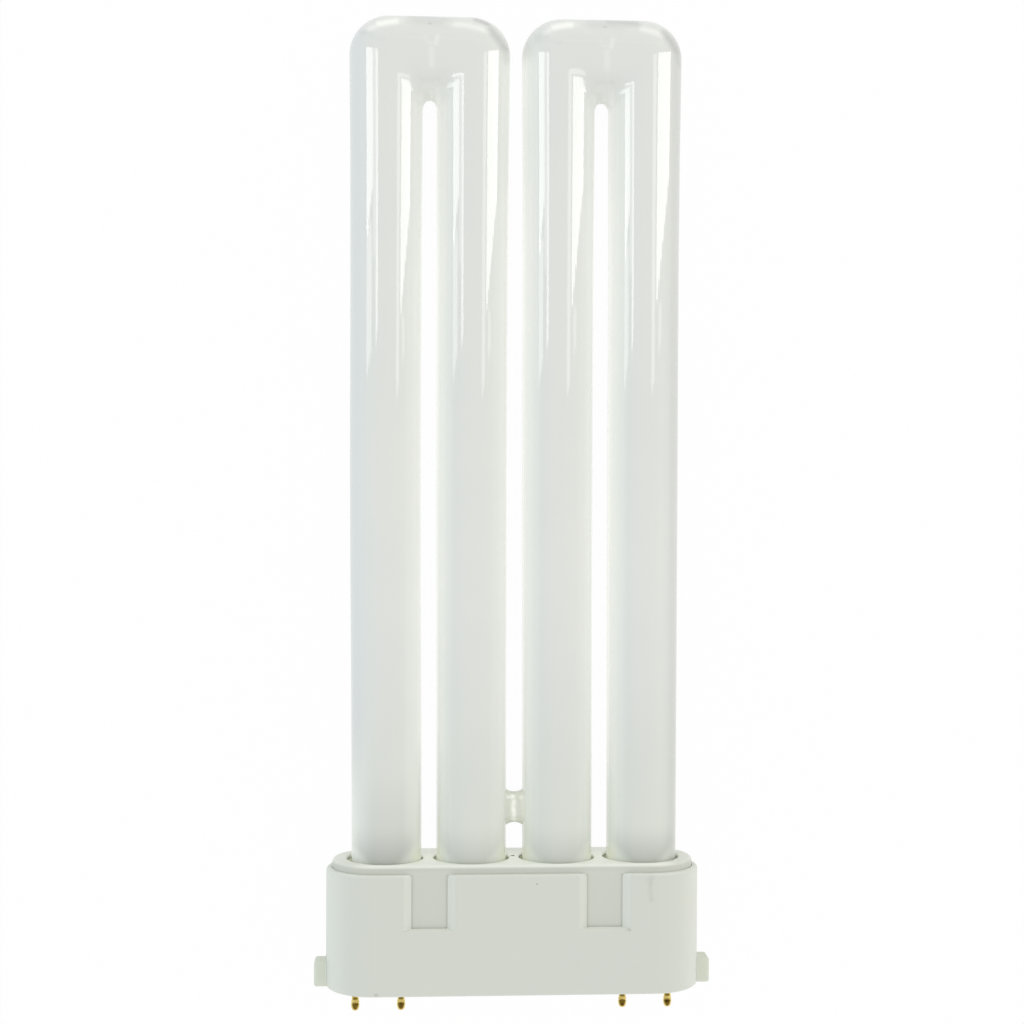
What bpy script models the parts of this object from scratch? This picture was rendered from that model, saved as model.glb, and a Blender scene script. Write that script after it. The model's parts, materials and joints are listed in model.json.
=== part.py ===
# Pin-base compact fluorescent lamp: four glass legs in one flat row, joined in two pairs,
# in a flat plastic cap with four contact pins. Metres, +Z up.
#
# The pieces are modelled in the lamp's own frame: Z runs up the legs from the cap's pin
# face, X runs along the row of legs, and -Y is the front. The whole lamp then lies on its
# back, front up, resting on the cap's rear rim and on the backs of the two bends.

import math

import bmesh
import bpy

# Clearance between pieces that seat on or in each other
FIT = 0.0003

# Glass legs and bends
TUBE_RADIUS = 0.0079
TUBE_GAP = 0.0030  # clear space between neighbouring legs
TUBE_TOP = 0.2110  # highest point of the bends, above the pin face
BEND_BLEND = 0.0030  # softness of the crease where a leg turns into its bend
CROTCH_DROP = 0.0024  # how far the bend's underside sags below a plain round tube
CROTCH_RISE = 0.0023  # height of the pointed arch at the top of the gap
CROTCH_MEET = 0.46  # share of the gap that each leg's glass fills under the bend
SHOULDER_HEIGHT = 0.0170  # below this the legs narrow to their closed ends
FOOT_HEIGHT = 0.0100  # lowest point of the domed inner legs
PINCH_HEIGHT = 0.0095  # lower edge of the flat seals on the outer legs
PINCH_LENGTH = 0.0040
PINCH_WIDTH = 0.0120
PINCH_THICKNESS = 0.0032
PINCH_SQUARENESS = 2  # 1 is an ellipse, more is nearer a box

# Glass bridge between the two inner legs
BRIDGE_HEIGHT = 0.0385
BRIDGE_WAIST_RADIUS = 0.0028
BRIDGE_END_RADIUS = 0.0041
BRIDGE_INSERT = 0.0012  # length of each end inside its leg
# From the waist to the leg: shares of the half gap, and of the flare, reached together
BRIDGE_FLARE = [(0.0, 0.0), (0.35, 0.10), (0.65, 0.35), (0.88, 0.68), (1.12, 1.0)]

# Cap shell
SHELL_HEIGHT = 0.0260
SHELL_MARGIN = 0.0028  # shell's face beyond the legs, front and back
SHELL_END_MARGIN = 0.00445  # shell's end beyond the outer legs
SHELL_WALL = 0.00105
SHELL_FLOOR = 0.0016
RIM_ROUND = 0.0006
FLOOR_ROUND = 0.0004
NOTCH_WIDTH = 0.0079
NOTCH_FLOOR = 0.01445  # height of the notch's lower edge
NOTCH_ROUND = 0.0013  # how far the notch's edges open outwards
LUG_REACH = 0.0027
LUG_LOW = 0.0002
LUG_HIGH = 0.0057
LUG_WIDTH = 0.0053
LUG_ROUND = 0.0004

# Tube holder
HOLDER_STAND = 0.0019  # collar above the shell's rim
HOLDER_OVERLAP = 0.0018  # skirt below the notches
HOLDER_ROUND = 0.0005
SOCKET_CLEARANCE = 0.00035
SOCKET_LIP = 0.0030  # narrow upper part of each socket
SOCKET_CHAMFER = 0.0003
CEMENT_THICKNESS = 0.0004
VENT_RADIUS = 0.00045

# Contact pins
PIN_SPACING = 0.0100  # between the two pins of a pair
PIN_PAIR_OFFSET = 0.00115  # middle of a pair beyond the outer leg's axis
PIN_RADIUS = 0.00093
PIN_REACH = 0.0059  # tip below the pin face
PIN_GROOVE_RADIUS = 0.00064
PIN_GROOVE_TOP = 0.0028
PIN_GROOVE_LENGTH = 0.0008
PIN_BULGE_LENGTH = 0.0004
PIN_CONE = 0.0006  # length of the slope from the groove out to the bulge
PIN_TIP_RADIUS = 0.00055
PIN_TIP_ROUND = 0.0003
PIN_BORE_RADIUS = 0.00055
PIN_BORE_DEPTH = 0.0030
PIN_COLLAR_RADIUS = 0.0018
PIN_COLLAR_LENGTH = 0.0006
PIN_HEAD_LENGTH = 0.0012  # hollow head above the collar
BOSS_RADIUS = 0.0025
BOSS_HEIGHT = 0.0014

# Lead wires
WIRE_RADIUS = 0.00022
WIRE_SPREAD = 0.0050  # between the two wires where they leave a seal
WIRE_INSERT = 0.0020  # length held in the pin's bore

# Fineness of the curved faces
TUBE_SIDES = 32
BEND_STEPS = 8
FOOT_STEPS = 5
END_STEPS = 18
HOLE_SIDES = 40
PIN_SIDES = 24
NOTCH_STEPS = 4
RIM_STEPS = 3
EDGE_STEPS = 2
WIRE_STEPS = 10
SHARP_ANGLE = math.radians(35)

# Sizes that follow from the ones above
LEG_PITCH = 2 * TUBE_RADIUS + TUBE_GAP
BEND_AXIS = TUBE_TOP - TUBE_RADIUS
SHELL_HALF_DEPTH = TUBE_RADIUS + SHELL_MARGIN
SHELL_HALF_WIDTH = 1.5 * LEG_PITCH + TUBE_RADIUS + SHELL_END_MARGIN
END_CENTRE = SHELL_HALF_WIDTH - SHELL_HALF_DEPTH
HOLDER_HALF_DEPTH = SHELL_HALF_DEPTH - SHELL_WALL - FIT
HOLDER_TOP = SHELL_HEIGHT + HOLDER_STAND
HOLDER_FOOT = NOTCH_FLOOR - HOLDER_OVERLAP
SOCKET_RADIUS = TUBE_RADIUS + SOCKET_CLEARANCE
CEMENT_INNER = TUBE_RADIUS + FIT
CEMENT_OUTER = CEMENT_INNER + CEMENT_THICKNESS
SOCKET_STEP = HOLDER_TOP - SOCKET_LIP
PIN_HOLE_RADIUS = PIN_RADIUS + FIT
BOSS_TOP = SHELL_FLOOR + BOSS_HEIGHT
PIN_TOP = BOSS_TOP + FIT + PIN_COLLAR_LENGTH + PIN_HEAD_LENGTH

LEG_PLACES = [(k - 1.5) * LEG_PITCH for k in range(4)]
PIN_PLACES = [
    side * (1.5 * LEG_PITCH + PIN_PAIR_OFFSET) + step * PIN_SPACING / 2
    for side in (-1, 1)
    for step in (-1, 1)
]

# How the lamp lies: the angle at which the rear rim and the bends touch one floor
REST_RUN = BEND_AXIS - SHELL_HEIGHT + RIM_ROUND
REST_TILT = math.acos(TUBE_RADIUS / math.hypot(SHELL_HALF_DEPTH, REST_RUN)) - math.atan2(
    REST_RUN, SHELL_HALF_DEPTH
)
REST_HEIGHT = SHELL_HALF_DEPTH * math.cos(REST_TILT) + (
    SHELL_HEIGHT - RIM_ROUND
) * math.sin(REST_TILT)
REST_FAR_END = BEND_AXIS * math.cos(REST_TILT) + TUBE_RADIUS
REST_NEAR_END = -PIN_REACH * math.cos(REST_TILT)

# Scene set-up


def clear_scene():
    for obj in list(bpy.data.objects):
        bpy.data.objects.remove(obj, do_unlink=True)


def new_collection(name):
    collection = bpy.data.collections.new(name)
    bpy.context.scene.collection.children.link(collection)
    return collection


def lying_frame(collection):
    # The empty that carries the lamp's own frame down onto its back
    empty = bpy.data.objects.new("lamp_frame", None)
    empty.rotation_euler = (-(math.pi / 2 + REST_TILT), 0, 0)
    empty.location = (0, -(REST_FAR_END + REST_NEAR_END) / 2, REST_HEIGHT)
    collection.objects.link(empty)
    return empty


def plastic_or_metal(name, colour, roughness, metallic=0.0, coat=0.0):
    material = bpy.data.materials.new(name)
    material.use_nodes = True
    shader = material.node_tree.nodes["Principled BSDF"]
    shader.inputs["Base Color"].default_value = (*colour, 1)
    shader.inputs["Roughness"].default_value = roughness
    shader.inputs["Metallic"].default_value = metallic
    shader.inputs["Coat Weight"].default_value = coat
    return material


clear_scene()
lamp = new_collection("pin_base_lamp")
cutters = new_collection("cutters")
lamp_frame = lying_frame(lamp)


def place(obj, collection, location=(0, 0, 0), rotation=(0, 0, 0)):
    collection.objects.link(obj)
    obj.parent = lamp_frame
    obj.location = location
    obj.rotation_euler = rotation
    return obj


def mesh_object(name, bm, collection, location=(0, 0, 0), rotation=(0, 0, 0)):
    bmesh.ops.recalc_face_normals(bm, faces=bm.faces)
    mesh = bpy.data.meshes.new(name)
    bm.to_mesh(mesh)
    bm.free()
    mesh.shade_smooth()
    mesh.set_sharp_from_angle(angle=SHARP_ANGLE)
    return place(bpy.data.objects.new(name, mesh), collection, location, rotation)


def hide_helper(obj):
    obj.hide_render = True
    obj.display_type = "WIRE"
    return obj


def combine(obj, other, operation):
    modifier = obj.modifiers.new(f"{operation.lower()} {other.name}", "BOOLEAN")
    modifier.operation = operation
    modifier.solver = "EXACT"
    modifier.object = hide_helper(other)


def turned(name, profile, sides, collection, location=(0, 0, 0), rotation=(0, 0, 0), ring=False):
    # profile: (radius, height) points, down the outer side; a ring's profile closes on itself
    mesh = bpy.data.meshes.new(name)
    edges = [(k, k + 1) for k in range(len(profile) - 1)]
    if ring:
        edges.append((len(profile) - 1, 0))
    mesh.from_pydata([(r, 0, z) for r, z in profile], edges, [])
    obj = place(bpy.data.objects.new(name, mesh), collection, location, rotation)
    screw = obj.modifiers.new("turn", "SCREW")
    screw.steps = screw.render_steps = sides
    screw.use_merge_vertices = True
    screw.merge_threshold = 0.00001
    screw.use_smooth_shade = True
    return obj


def post(name, radius, low, high, place_x, sides=HOLE_SIDES):
    # An upright cylinder on the row's centre line
    bm = bmesh.new()
    bmesh.ops.create_cone(
        bm, cap_ends=True, segments=sides, radius1=radius, radius2=radius, depth=high - low
    )
    return mesh_object(name, bm, cutters, (place_x, 0, (low + high) / 2))


def round_edges(bm, edges, radius, segments):
    # A profile of a half gives a quarter circle
    bmesh.ops.bevel(
        bm, geom=edges, offset=radius, segments=segments, profile=0.5, affect="EDGES"
    )


def block(name, low, high, rounding):
    bm = bmesh.new()
    bmesh.ops.create_cube(bm, size=1)
    size = [b - a for a, b in zip(low, high)]
    bmesh.ops.scale(bm, vec=size, verts=bm.verts)
    round_edges(bm, bm.edges[:], rounding, EDGE_STEPS)
    return mesh_object(name, bm, cutters, [(a + b) / 2 for a, b in zip(low, high)])


# The glass: two bent pairs and a bridge, one blown vessel


def mixed(start, end, share):
    return start + (end - start) * share


def bend_point(inward, turn):
    # A point on the bend of one leg, from the leg's axis towards its partner and from the
    # bend's axis upwards. The outer side turns like a ball, the inner side in a soft crease.
    if inward < 0:
        across = along = math.hypot(inward, BEND_BLEND)
        corner = -inward
    else:
        share = (inward / TUBE_RADIUS) ** 2
        across = mixed(BEND_BLEND, CROTCH_MEET * TUBE_GAP, share)
        along = mixed(BEND_BLEND, CROTCH_RISE, share)
        corner = -inward * (1 + CROTCH_DROP / TUBE_RADIUS)
    return (
        inward + across * (1 - math.cos(turn)),
        corner - along * (1 - math.sin(turn)),
    )


def leg_section(width, depth, squareness):
    # Half of a leg's section as (inward, outward from the front) points, round at squareness 1
    points = []
    for k in range(TUBE_SIDES):
        angle = 2 * math.pi * k / TUBE_SIDES
        s, c = math.sin(angle), math.cos(angle)
        inward = math.copysign(abs(s) ** (1 / squareness), s) * width
        points.append((inward, -math.copysign(abs(c) ** (1 / squareness), c) * depth))
    return points


def domed_foot():
    # Rings of a blown, round end, from its lowest point up to the shoulder
    rings = []
    for k in range(1, FOOT_STEPS + 1):
        angle = math.pi / 2 * k / FOOT_STEPS
        radius = TUBE_RADIUS * math.sin(angle)
        height = mixed(SHOULDER_HEIGHT, FOOT_HEIGHT, math.cos(angle))
        rings.append((height, leg_section(radius, radius, 1)))
    return rings


def pinched_foot():
    # Rings of an end pressed flat round the lead wires, up to the shoulder
    flat = leg_section(PINCH_WIDTH / 2, PINCH_THICKNESS / 2, PINCH_SQUARENESS)
    neck = PINCH_HEIGHT + PINCH_LENGTH
    rings = [(PINCH_HEIGHT, flat)]
    for k in range(FOOT_STEPS + 1):
        share = k / FOOT_STEPS
        swell = math.sin(math.pi / 2 * share)
        section = leg_section(
            mixed(PINCH_WIDTH / 2, TUBE_RADIUS, swell),
            mixed(PINCH_THICKNESS / 2, TUBE_RADIUS, swell),
            mixed(PINCH_SQUARENESS, 1, swell),
        )
        rings.append((mixed(neck, SHOULDER_HEIGHT, share), section))
    return rings


def half_pair(foot, leg_x, side):
    # Rings from one leg's closed end up through its half of the bend
    rings = [
        [(leg_x - side * inward, y, height) for inward, y in section]
        for height, section in foot
    ]
    section = leg_section(TUBE_RADIUS, TUBE_RADIUS, 1)
    for k in range(BEND_STEPS + 1):
        turn = math.pi / 2 * k / BEND_STEPS
        ring = []
        for inward, y in section:
            reach, rise = bend_point(inward, turn)
            ring.append((leg_x - side * reach, y, BEND_AXIS + rise))
        rings.append(ring)
    return rings


def glass_pair(name, left_foot, right_foot, centre_x, collection):
    left = half_pair(left_foot, centre_x - LEG_PITCH / 2, -1)
    right = half_pair(right_foot, centre_x + LEG_PITCH / 2, 1)
    bm = bmesh.new()
    loops = [[bm.verts.new(point) for point in ring] for ring in left + right[::-1]]
    for low, high in zip(loops, loops[1:]):
        for k in range(TUBE_SIDES):
            after = (k + 1) % TUBE_SIDES
            bm.faces.new((low[k], low[after], high[after], high[k]))
    bm.faces.new(loops[0])
    bm.faces.new(loops[-1])
    return mesh_object(name, bm, collection)


def glass_bridge():
    half_gap = TUBE_GAP / 2
    flare = BRIDGE_END_RADIUS - BRIDGE_WAIST_RADIUS
    leg_curve = TUBE_RADIUS - math.sqrt(TUBE_RADIUS**2 - BRIDGE_END_RADIUS**2)
    reach = half_gap + leg_curve + BRIDGE_INSERT
    side = [(BRIDGE_WAIST_RADIUS + flare * rise, half_gap * along) for along, rise in BRIDGE_FLARE]
    top = [(0, reach), (BRIDGE_END_RADIUS, reach)] + side[:0:-1]
    profile = top + [side[0]] + [(r, -z) for r, z in top[::-1]]
    return turned(
        "bridge",
        profile,
        TUBE_SIDES,
        cutters,
        location=(0, 0, BRIDGE_HEIGHT),
        rotation=(0, math.pi / 2, 0),
    )


def discharge_tube():
    tube = glass_pair("discharge_tube", pinched_foot(), domed_foot(), -LEG_PITCH, lamp)
    partner = glass_pair("right_pair", domed_foot(), pinched_foot(), LEG_PITCH, cutters)
    combine(tube, glass_bridge(), "UNION")
    combine(tube, partner, "UNION")
    tube.data.materials.append(
        plastic_or_metal("phosphor_glass", (0.74, 0.75, 0.72), 0.12, coat=0.6)
    )
    return tube


# The cap


def stadium(half_depth):
    # A flat outline with round ends, counter-clockwise seen from above
    points = []
    for side in (1, -1):
        for k in range(END_STEPS + 1):
            angle = math.pi * (k / END_STEPS - 1 / 2)
            x = side * (END_CENTRE + half_depth * math.cos(angle))
            points.append((x, side * half_depth * math.sin(angle)))
    return points


def stadium_block(half_depth, low, high):
    bm = bmesh.new()
    floor = bm.faces.new([bm.verts.new((x, y, low)) for x, y in stadium(half_depth)])
    made = bmesh.ops.extrude_face_region(bm, geom=[floor])["geom"]
    corners = [item for item in made if isinstance(item, bmesh.types.BMVert)]
    bmesh.ops.translate(bm, vec=(0, 0, high - low), verts=corners)
    bmesh.ops.recalc_face_normals(bm, faces=bm.faces)
    return bm


def edges_at(bm, height, half_depth):
    # The outline's edges at this height: the rim, and not an inset ring inside it
    found = []
    for edge in bm.edges:
        level = all(abs(v.co.z - height) < FIT / 10 for v in edge.verts)
        middle = (edge.verts[0].co + edge.verts[1].co) / 2
        beyond = max(abs(middle.x) - END_CENTRE, 0)
        if level and math.hypot(beyond, middle.y) > half_depth - FIT:
            found.append(edge)
    return found


def hollow(bm, height, wall, floor):
    # Sink the top face to leave a wall and a floor
    top = max(bm.faces, key=lambda face: face.calc_center_median().z)
    bmesh.ops.inset_region(bm, faces=[top], thickness=wall, use_even_offset=True)
    made = bmesh.ops.extrude_face_region(bm, geom=[top])["geom"]
    if top.is_valid:
        bmesh.ops.delete(bm, geom=[top], context="FACES_ONLY")
    corners = [item for item in made if isinstance(item, bmesh.types.BMVert)]
    bmesh.ops.translate(bm, vec=(0, 0, floor - height), verts=corners)


def lug(name, side):
    # Starts inside the shell's wall, so that it grows out of the round end
    inner = SHELL_HALF_WIDTH - SHELL_WALL / 2
    outer = SHELL_HALF_WIDTH + LUG_REACH
    ends = sorted((side * inner, side * outer))
    low = (ends[0], -LUG_WIDTH / 2, LUG_LOW)
    high = (ends[1], LUG_WIDTH / 2, LUG_HIGH)
    return block(name, low, high, LUG_ROUND)


def notch_cutter(name, centre_x, face):
    # A window through the wall whose edges open outwards in a quarter round
    past_rim = SHELL_HEIGHT + RIM_ROUND * 2
    inside = SHELL_HALF_DEPTH - SHELL_WALL - FIT * 2
    sections = [(inside, 0.0)]
    for k in range(NOTCH_STEPS + 1):
        angle = math.pi / 2 * k / NOTCH_STEPS
        depth = SHELL_HALF_DEPTH - SHELL_WALL * (1 - math.sin(angle))
        sections.append((depth, NOTCH_ROUND * (1 - math.cos(angle))))
    sections.append((SHELL_HALF_DEPTH + RIM_ROUND, NOTCH_ROUND))
    bm = bmesh.new()
    loops = []
    for depth, opened in sections:
        half = NOTCH_WIDTH / 2 + opened
        low = NOTCH_FLOOR - opened
        corners = [(-half, low), (half, low), (half, past_rim), (-half, past_rim)]
        loops.append([bm.verts.new((centre_x + x, face * depth, z)) for x, z in corners])
    for near, far in zip(loops, loops[1:]):
        for k in range(4):
            after = (k + 1) % 4
            bm.faces.new((near[k], near[after], far[after], far[k]))
    bm.faces.new(loops[0])
    bm.faces.new(loops[-1])
    return mesh_object(name, bm, cutters)


def base_shell():
    bm = stadium_block(SHELL_HALF_DEPTH, 0, SHELL_HEIGHT)
    hollow(bm, SHELL_HEIGHT, SHELL_WALL, SHELL_FLOOR)
    round_edges(bm, edges_at(bm, SHELL_HEIGHT, SHELL_HALF_DEPTH), RIM_ROUND, RIM_STEPS)
    round_edges(bm, edges_at(bm, 0, SHELL_HALF_DEPTH), FLOOR_ROUND, EDGE_STEPS)
    shell = mesh_object("base_shell", bm, lamp)
    for side, word in ((-1, "left"), (1, "right")):
        combine(shell, lug(f"lug_{word}", side), "UNION")
    for number, pin_x in enumerate(PIN_PLACES, 1):
        boss = post(f"boss_{number}", BOSS_RADIUS, SHELL_FLOOR / 2, BOSS_TOP, pin_x)
        combine(shell, boss, "UNION")
    for number, pin_x in enumerate(PIN_PLACES, 1):
        hole = post(f"pin_hole_{number}", PIN_HOLE_RADIUS, -FIT, BOSS_TOP + FIT, pin_x, PIN_SIDES)
        combine(shell, hole, "DIFFERENCE")
    for side, word in ((-1, "left"), (1, "right")):
        for face, end in ((-1, "front"), (1, "back")):
            cutter = notch_cutter(f"notch_{word}_{end}", side * LEG_PITCH, face)
            combine(shell, cutter, "DIFFERENCE")
    shell.data.materials.append(plastic_or_metal("cap_plastic", (0.66, 0.67, 0.62), 0.5))
    return shell


def socket_cutter(name, leg_x):
    # Narrow above the step, wide below it for the cement, eased at the mouth
    over = HOLDER_TOP + SOCKET_CHAMFER
    eased = SOCKET_RADIUS + 2 * SOCKET_CHAMFER
    wide = CEMENT_OUTER + FIT
    under = HOLDER_FOOT - FIT
    profile = [
        (0, over),
        (eased, over),
        (SOCKET_RADIUS, HOLDER_TOP - SOCKET_CHAMFER),
        (SOCKET_RADIUS, SOCKET_STEP),
        (wide, SOCKET_STEP),
        (wide, under),
        (0, under),
    ]
    return turned(name, profile, HOLE_SIDES, cutters, location=(leg_x, 0, 0))


def tube_holder():
    bm = stadium_block(HOLDER_HALF_DEPTH, HOLDER_FOOT, HOLDER_TOP)
    round_edges(bm, edges_at(bm, HOLDER_TOP, HOLDER_HALF_DEPTH), HOLDER_ROUND, RIM_STEPS)
    holder = mesh_object("tube_holder", bm, lamp)
    for number, leg_x in enumerate(LEG_PLACES, 1):
        combine(holder, socket_cutter(f"socket_{number}", leg_x), "DIFFERENCE")
    vent = post("vent", VENT_RADIUS, HOLDER_FOOT - FIT, HOLDER_TOP + FIT, 0, PIN_SIDES)
    combine(holder, vent, "DIFFERENCE")
    holder.data.materials.append(plastic_or_metal("holder_plastic", (0.68, 0.69, 0.64), 0.5))
    return holder


def tube_cement(number, leg_x):
    high = SOCKET_STEP - FIT
    profile = [
        (CEMENT_INNER, high),
        (CEMENT_OUTER, high),
        (CEMENT_OUTER, SHOULDER_HEIGHT),
        (CEMENT_INNER, SHOULDER_HEIGHT),
    ]
    ring = turned(
        f"tube_cement_{number}", profile, HOLE_SIDES, lamp, location=(leg_x, 0, 0), ring=True
    )
    ring.data.materials.append(plastic_or_metal(f"cement_{number}", (0.80, 0.78, 0.70), 0.9))
    return ring


# Pins and wires


def contact_pin(number, pin_x):
    # A hollow turned pin: head and collar inside the cap, grooved tip outside
    collar_low = BOSS_TOP + FIT
    collar_high = collar_low + PIN_COLLAR_LENGTH
    bore_low = PIN_TOP - PIN_BORE_DEPTH
    groove_low = -PIN_GROOVE_TOP - PIN_GROOVE_LENGTH
    bulge_high = groove_low - PIN_CONE
    bulge_low = bulge_high - PIN_BULGE_LENGTH
    slope = PIN_RADIUS - PIN_GROOVE_RADIUS
    profile = [
        (0, bore_low),
        (PIN_BORE_RADIUS, bore_low),
        (PIN_BORE_RADIUS, PIN_TOP),
        (PIN_RADIUS, PIN_TOP),
        (PIN_RADIUS, collar_high),
        (PIN_COLLAR_RADIUS, collar_high),
        (PIN_COLLAR_RADIUS, collar_low),
        (PIN_RADIUS, collar_low),
        (PIN_RADIUS, slope - PIN_GROOVE_TOP),
        (PIN_GROOVE_RADIUS, -PIN_GROOVE_TOP),
        (PIN_GROOVE_RADIUS, groove_low),
        (PIN_RADIUS, bulge_high),
        (PIN_RADIUS, bulge_low),
        (PIN_TIP_RADIUS, PIN_TIP_ROUND - PIN_REACH),
        (PIN_TIP_RADIUS / 2, PIN_TIP_ROUND / 4 - PIN_REACH),
        (0, -PIN_REACH),
    ]
    pin = turned(f"contact_pin_{number}", profile, PIN_SIDES, lamp, location=(pin_x, 0, 0))
    pin.data.materials.append(
        plastic_or_metal(f"gilt_{number}", (0.72, 0.52, 0.18), 0.28, metallic=1.0)
    )
    return pin


def lead_wire(number, pin_x):
    # Leaves the outer leg's seal and drops into the pin's bore in one easy bend
    outer_leg = math.copysign(LEG_PLACES[-1], pin_x)
    way = 1 if pin_x > outer_leg else -1
    seal_x = outer_leg + way * WIRE_SPREAD / 2
    seal_z = PINCH_HEIGHT - FIT
    spline_points = []
    for k in range(WIRE_STEPS + 1):
        share = k / WIRE_STEPS
        ease = share * share * (3 - 2 * share)
        spline_points.append((mixed(seal_x, pin_x, ease), mixed(seal_z, PIN_TOP, share)))
    spline_points.append((pin_x, PIN_TOP - WIRE_INSERT))
    curve = bpy.data.curves.new(f"lead_wire_{number}", "CURVE")
    curve.dimensions = "3D"
    curve.bevel_depth = WIRE_RADIUS
    curve.bevel_resolution = 2
    curve.use_fill_caps = True
    spline = curve.splines.new("POLY")
    spline.points.add(len(spline_points) - 1)
    for point, (x, z) in zip(spline.points, spline_points):
        point.co = (x, 0, z, 1)
    wire = place(bpy.data.objects.new(curve.name, curve), lamp)
    curve.materials.append(
        plastic_or_metal(f"nickel_{number}", (0.62, 0.60, 0.56), 0.35, metallic=1.0)
    )
    return wire


discharge_tube()
base_shell()
tube_holder()
for number, leg_x in enumerate(LEG_PLACES, 1):
    tube_cement(number, leg_x)
for number, pin_x in enumerate(PIN_PLACES, 1):
    contact_pin(number, pin_x)
    lead_wire(number, pin_x)
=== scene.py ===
# A pin-base compact fluorescent lamp, lying on its back on a white table and seen from above.
# Every piece is made in the lamp's own frame and then laid down with it.

import json
import math
from functools import partial, reduce

import bmesh
import bpy
from mathutils import Matrix, Vector


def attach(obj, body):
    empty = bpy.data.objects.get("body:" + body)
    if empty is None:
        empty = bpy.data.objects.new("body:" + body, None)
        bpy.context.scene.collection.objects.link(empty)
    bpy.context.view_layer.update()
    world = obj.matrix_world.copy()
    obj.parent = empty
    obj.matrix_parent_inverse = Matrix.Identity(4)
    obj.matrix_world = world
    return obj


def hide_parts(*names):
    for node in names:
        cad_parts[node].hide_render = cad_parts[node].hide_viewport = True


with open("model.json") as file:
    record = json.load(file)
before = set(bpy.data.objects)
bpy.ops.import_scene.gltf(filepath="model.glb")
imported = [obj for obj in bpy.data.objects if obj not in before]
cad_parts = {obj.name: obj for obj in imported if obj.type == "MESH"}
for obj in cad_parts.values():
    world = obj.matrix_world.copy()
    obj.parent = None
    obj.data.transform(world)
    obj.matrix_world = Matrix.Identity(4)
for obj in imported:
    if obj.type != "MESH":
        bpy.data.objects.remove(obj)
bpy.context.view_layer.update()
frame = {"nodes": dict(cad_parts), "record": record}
print("frame loaded:", len(frame["nodes"]), "nodes")

# The lamp's own frame: X along the row of legs, -Y out of its front, Z up the legs from the pin face
pinFace = next(mount for mount in frame["record"]["mounts"] if mount["name"] == "pin_face")
lampUp = -Vector(pinFace["axis"]).normalized()
lampRight = Vector((1, 0, 0))
lampBack = lampUp.cross(lampRight)
lampTurn = Matrix((lampRight, lampBack, lampUp)).transposed().to_4x4()
lampFrame = Matrix.Translation(pinFace["pos_m"]) @ lampTurn


def lampBox(node):
    # Lowest and highest corner of a CAD node, in the lamp's own frame
    intoLamp = lampFrame.inverted()
    points = [intoLamp @ vertex.co for vertex in frame["nodes"][node].data.vertices]
    low = Vector([min(point[k] for point in points) for k in range(3)])
    high = Vector([max(point[k] for point in points) for k in range(3)])
    return low, high


# Sizes read from the frame, metres
glassLow, glassHigh = lampBox("discharge_tube")
tubeRadius = glassHigh.y
legPitch = (glassHigh.x - tubeRadius) / 1.5
bendAxis = glassHigh.z - tubeRadius
legPlaces = [(k - 1.5) * legPitch for k in range(4)]
shellHigh = lampBox("base_shell")[1]
holderLow, holderHigh = lampBox("tube_holder")
tubeGap = legPitch - 2 * tubeRadius
print("legs", round(tubeRadius * 1000, 2), "mm in radius,", round(legPitch * 1000, 2), "mm apart")


# Shapes of the cap, metres

capShape = {
    "endReach": 0.00463,  # the shell's ends beyond the outer legs
    "wall": 0.0012,
    "floor": 0.0016,
    "rimRound": 0.0007,
    "innerRound": 0.00012,
    "floorRound": 0.0005,
    "endSteps": 72,
    "roundSteps": 8,
    "notchWidth": 0.00768,
    "notchShift": 0.00045,  # both notches sit a little right of the legs' middle
    "notchFloor": 0.01442,
    "notchOpen": 0.0019,  # how far the notch's edges lean back
    "notchFlare": 0.14,  # share of that lean in the last bit before the shell's face
    "notchSquare": 0.0001,  # how far into the wall the edges stand square
    "notchPast": 0.0005,  # how far the cutting form reaches past them on both sides
    "notchOuter": 1.9,  # its lean at its outer end, over the lean at the shell's face
    "floorOpen": 0.35,  # lean of the notch's foot, as a share of its sides'
    "notchCorner": 0.0010,  # round where the notch meets the rim
    "notchSteps": 8,
    "seat": 0.00007,  # gap between the shell and the tube holder in it
    "lugLow": 0.0002,
    "lugHigh": 0.0057,
    "lugWidth": 0.0053,
    "lugRound": 0.0006,
    "lugSteps": 4,
    "past": 0.001,  # how far a cutting form reaches past what it cuts
}
shellHalfWidth = 1.5 * legPitch + tubeRadius + capShape["endReach"]
shellHalfDepth = shellHigh.y
shellTop = shellHigh.z
endCentre = shellHalfWidth - shellHalfDepth

holderShape = {
    "sides": 96,
    "round": 0.0009,
    "socket": 0.00835,  # radius of each socket's upper part
    "mouth": 0.0004,
    "lip": 0.0030,
    "wide": 0.0089,
    "mouthSteps": 6,
    "vent": 0.00045,
    "ventSides": 32,
    "shifts": [0.00027, 0.00026, 0.00016, -0.00010],  # of each socket from its leg's place
}
socketPlaces = [x + shift for x, shift in zip(legPlaces, holderShape["shifts"])]


def addObject(name, data):
    item = bpy.data.objects.new(name, data)
    bpy.context.scene.collection.objects.link(item)
    return item


# Camera

photoCamera = {
    "place": (-0.0234849, -0.3824711, 0.1079923),  # in the lamp's own frame
    "pitch": math.radians(-0.6880),
    "roll": math.radians(-0.2524),
    "yaw": math.radians(-3.4387),
    "focal": 61.478,  # mm, for a picture as wide as the sensor
    "sensor": 36,
}


def makeCamera(settings):
    data = bpy.data.cameras.new("photoCamera")
    data.sensor_width = settings["sensor"]
    data.lens = settings["focal"]
    data.clip_start = 0.01
    camera = addObject("photoCamera", data)
    turn = (
        Matrix.Rotation(settings["yaw"], 4, "Z")
        @ Matrix.Rotation(settings["roll"], 4, "Y")
        @ Matrix.Rotation(settings["pitch"], 4, "X")
    )
    upright = Matrix.Rotation(math.pi / 2, 4, "X")  # looks along +Y, with +Z up
    camera.matrix_world = lampFrame @ Matrix.Translation(settings["place"]) @ turn @ upright
    bpy.context.scene.camera = camera


makeCamera(photoCamera)


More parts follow.
